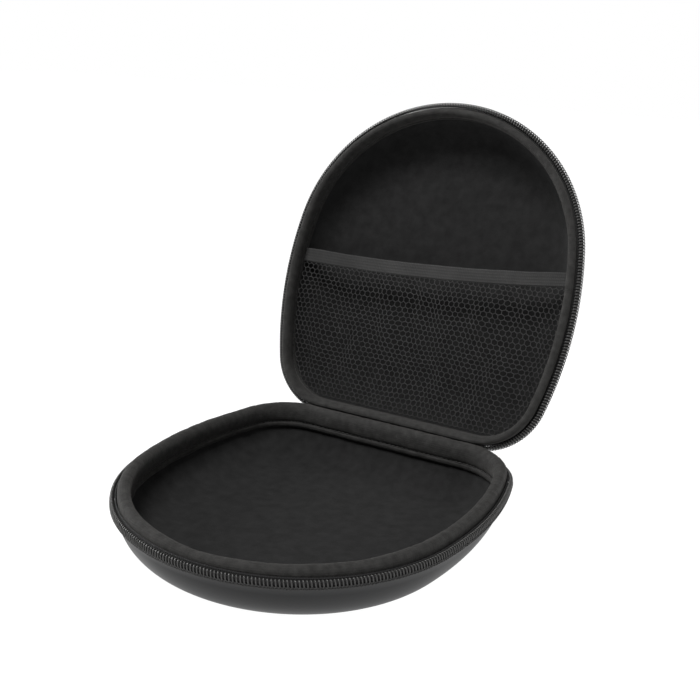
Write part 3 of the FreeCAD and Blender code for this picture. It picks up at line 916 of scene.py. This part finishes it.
def hinge_path(inset, reach):
    """Points from the base's wall, round the hinge line and on to the lid's wall.

    They are in millimetres from the hinge, at u = 0, with the axes of the world."""
    down = int(reach / HINGE_STEP)
    legs = [Vector((0, inset, -reach + reach * k / down)) for k in range(down + 1)]
    to_base = Matrix.Rotation(math.pi, 3, "Z")
    to_lid = Matrix.Rotation(math.pi - opening, 3, "X")
    path = [to_base @ point for point in legs]
    for k in range(1, HINGE_BENDS):
        turn = math.pi - opening * k / HINGE_BENDS
        path.append(Matrix.Rotation(turn, 3, "X") @ Vector((0, inset, 0)))
    path += [to_lid @ point for point in reversed(legs)]
    return path


def hinge_strip(name, node, width, inset, reach):
    """Knitted strip that turns round the hinge line and goes down each wall by its reach."""
    steps = int(width / HINGE_SPACING)
    path = hinge_path(inset, reach)
    rows = []
    for k in range(steps + 1):
        u = width * (k / steps - 0.5)
        rows.append([Vector((u, point.y, point.z)) for point in path])
    lengths = [width * k / steps for k in range(steps + 1)]
    piece = surface(name, rows, lengths, TO_HINGE @ SCALE)
    thickness = piece.modifiers.new("cloth", "SOLIDIFY")
    thickness.thickness = HINGE_CLOTH
    thickness.offset = 0.0
    bend(piece)
    dress(piece, HINGE_KNIT)
    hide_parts(node)
    return piece


def bend(piece):
    """Bakes a piece's placing into its mesh."""
    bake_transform(piece)


# ---------------------------------------------------------------- hard parts from the CAD frame

def bevelled(node, material, width):
    """Shows a CAD part as it is, with its sharp edges broken. width is in metres."""
    part = frame["nodes"][node]
    rounding = part.modifiers.new("broken_edges", "BEVEL")
    rounding.width = width
    rounding.segments = 3
    rounding.limit_method = "ANGLE"
    return dress(part, material)


# ---------------------------------------------------------------- stage

CAMERA_AZIMUTH = math.radians(28.37)
CAMERA_ELEVATION = math.radians(16.30)
CAMERA_ROLL = math.radians(3.34)
CAMERA_FROM_HINGE = Vector((0.25696, -0.53691, 0.22422))    # metres
CAMERA_LENS = 51.52             # millimetres, on a sensor 36 mm wide
FLOOR_REACH = 6.0               # metres from the middle to each side
FLOOR_FALL = (0.2, 1.2, 0.6)    # where its glow starts and stops to fall, and what is left
BACKDROP_FALL = (0.03, 0.2, 0.6)    # the same for the world, by direction
OVERHEAD_FALL = (0.09, 0.30, 0.15)


def facing(tree, coordinate):
    """How far a point or a direction lies towards the camera's side of the studio."""
    where = tree.nodes.new("ShaderNodeTexCoord")
    dot = tree.nodes.new("ShaderNodeVectorMath")
    dot.operation = "DOT_PRODUCT"
    tree.links.new(where.outputs[coordinate], dot.inputs[0])
    dot.inputs[1].default_value = (math.sin(CAMERA_AZIMUTH), -math.cos(CAMERA_AZIMUTH), 0)
    return dot.outputs["Value"]


def fall(tree, value, start, end, low):
    """Falls from 1 to low as the value goes from start to end."""
    ramp = tree.nodes.new("ShaderNodeMapRange")
    tree.links.new(value, ramp.inputs["Value"])
    ramp.inputs["From Min"].default_value = start
    ramp.inputs["From Max"].default_value = end
    ramp.inputs["To Min"].default_value = 1.0
    ramp.inputs["To Max"].default_value = low
    return ramp.outputs["Result"]


def stage_floor():
    """Floor that glows white, as a lit product table does, and less in front of the case."""
    mesh = bpy.data.meshes.new("floor")
    reach = FLOOR_REACH
    corners = [(-reach, -reach, 0), (reach, -reach, 0), (reach, reach, 0), (-reach, reach, 0)]
    mesh.from_pydata(corners, [], [(0, 1, 2, 3)])
    floor = bpy.data.objects.new("floor", mesh)
    bpy.context.scene.collection.objects.link(floor)
    paint = bpy.data.materials.new("white_table")
    paint.use_nodes = True
    tree = paint.node_tree
    shader = tree.nodes["Principled BSDF"]
    shader.inputs["Base Color"].default_value = (0.12, 0.12, 0.12, 1)
    shader.inputs["Roughness"].default_value = 0.9
    shader.inputs["Specular IOR Level"].default_value = 0.0
    shader.inputs["Emission Color"].default_value = (1, 1, 1, 1)
    glow = fall(tree, facing(tree, "Object"), *FLOOR_FALL)
    tree.links.new(glow, shader.inputs["Emission Strength"])
    mesh.materials.append(paint)


def white_world():
    """White backdrop behind the case, dimmer overhead and behind the camera."""
    world = bpy.data.worlds.new("studio")
    bpy.context.scene.world = world
    world.use_nodes = True
    tree = world.node_tree
    background = tree.nodes["Background"]
    coordinates = tree.nodes.new("ShaderNodeTexCoord")
    split = tree.nodes.new("ShaderNodeSeparateXYZ")
    tree.links.new(coordinates.outputs["Generated"], split.inputs["Vector"])
    overhead = fall(tree, split.outputs["Z"], *OVERHEAD_FALL)
    backdrop = fall(tree, facing(tree, "Generated"), *BACKDROP_FALL)
    both = tree.nodes.new("ShaderNodeMath")
    both.operation = "MULTIPLY"
    tree.links.new(overhead, both.inputs[0])
    tree.links.new(backdrop, both.inputs[1])
    tree.links.new(both.outputs["Value"], background.inputs["Strength"])
    background.inputs["Color"].default_value = (1, 1, 1, 1)


def softbox(name, where, towards, size, power):
    """Rectangular light, placed and aimed in metres, with its power in watts."""
    light = bpy.data.lights.new(name, "AREA")
    light.shape = "RECTANGLE"
    light.size, light.size_y = size
    light.energy = power
    lamp = bpy.data.objects.new(name, light)
    lamp.location = where
    aim = Vector(towards) - Vector(where)
    lamp.rotation_euler = aim.to_track_quat("-Z", "Y").to_euler()
    bpy.context.scene.collection.objects.link(lamp)


def camera():
    """Stands low in front and to the right, tilted slightly."""
    back = Vector((
        math.sin(CAMERA_AZIMUTH) * math.cos(CAMERA_ELEVATION),
        -math.cos(CAMERA_AZIMUTH) * math.cos(CAMERA_ELEVATION),
        math.sin(CAMERA_ELEVATION),
    ))
    right = Vector((math.cos(CAMERA_AZIMUTH), math.sin(CAMERA_AZIMUTH), 0))
    up = back.cross(right)
    rolled_right = right * math.cos(CAMERA_ROLL) + up * math.sin(CAMERA_ROLL)
    rolled_up = up * math.cos(CAMERA_ROLL) - right * math.sin(CAMERA_ROLL)
    lens = bpy.data.cameras.new("camera")
    lens.lens = CAMERA_LENS
    lens.sensor_width = 36.0
    view = bpy.data.objects.new("camera", lens)
    turned = Matrix((rolled_right, rolled_up, back)).transposed().to_4x4()
    view.matrix_world = Matrix.Translation(hinge + CAMERA_FROM_HINGE) @ turned
    bpy.context.scene.collection.objects.link(view)
    bpy.context.scene.camera = view


# ---------------------------------------------------------------- the whole case

for side in ("base", "lid"):
    skin(side)
    lining(side)
    lip(side)
    lip_stitches(side)
    zip_tape(side)
    zip_coil(side)
    coil_core(side)
    coil_thread(side)
    bevelled(side + "_zip_stops", COIL, 0.0005)

pocket_net(pocket_hem())
hinge_strip(
    "outer_hinge_fabric", "hinge_outer_strip", width=HINGE_LENGTH - 1, inset=2.1, reach=14.0
)
hinge_strip(
    "inner_hinge_fabric", "hinge_inner_strip", width=2 * ZIP_END + 8, inset=3.4, reach=5.2
)
bevelled("zip_slider", METAL, 0.00025)
bevelled("pull_tab", METAL, 0.0003)

stage_floor()
white_world()
softbox("main", (-0.15, -0.5, 1.25), (0, 0.05, 0.08), (0.5, 0.5), 23.0)
softbox("left", (-1.2, 0.0, 0.2), (0, 0.0, 0.05), (0.3, 1.2), 16.5)
softbox("right", (1.2, 0.1, 0.5), (0, 0.0, 0.05), (0.5, 1.0), 3.2)
camera()
bpy.context.scene.view_settings.view_transform = "Standard"
